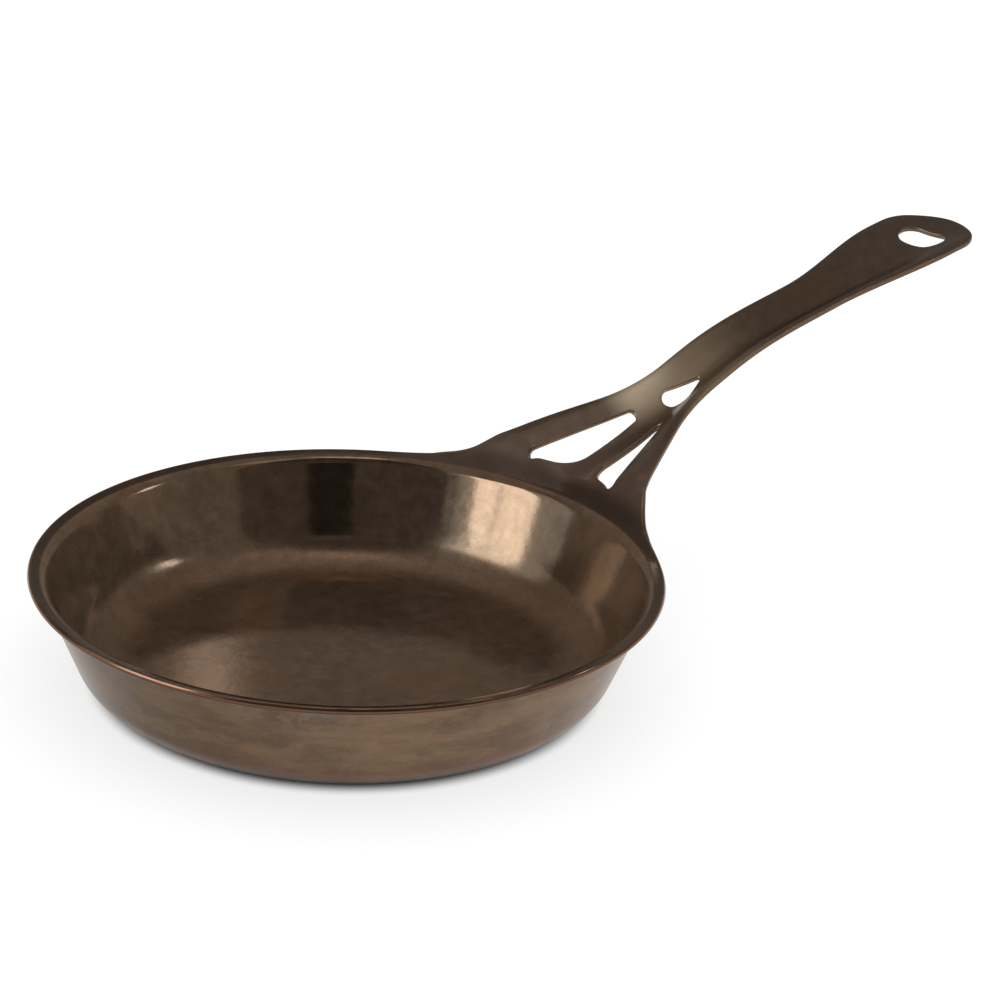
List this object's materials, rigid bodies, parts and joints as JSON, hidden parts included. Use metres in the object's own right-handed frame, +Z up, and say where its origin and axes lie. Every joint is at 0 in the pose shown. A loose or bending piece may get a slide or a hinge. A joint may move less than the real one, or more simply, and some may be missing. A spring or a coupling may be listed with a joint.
{
  "type": "frying pan",
  "caption": "Seamless sheet-iron frying pan: a bowl with leaning wall and flared lip, and a rising trough-shaped handle with a forked, vented root and a broad end with a hanging hole.",
  "frame": {"origin": "centre of the flat underside, on the surface that the pan stands on", "axes": "+Z up along the bowl's axis; +X along the handle, away from the bowl"},
  "size_m": [0.5358, 0.2596, 0.12],
  "materials": {
    "bowl_iron": "satin, heat-tinted bronze brown",
    "handle_iron": "satin, heat-tinted dark brown"
  },
  "bodies": {
    "root": {"pan_body": "bowl_iron", "handle": "handle_iron"}
  },
  "joints": []
}
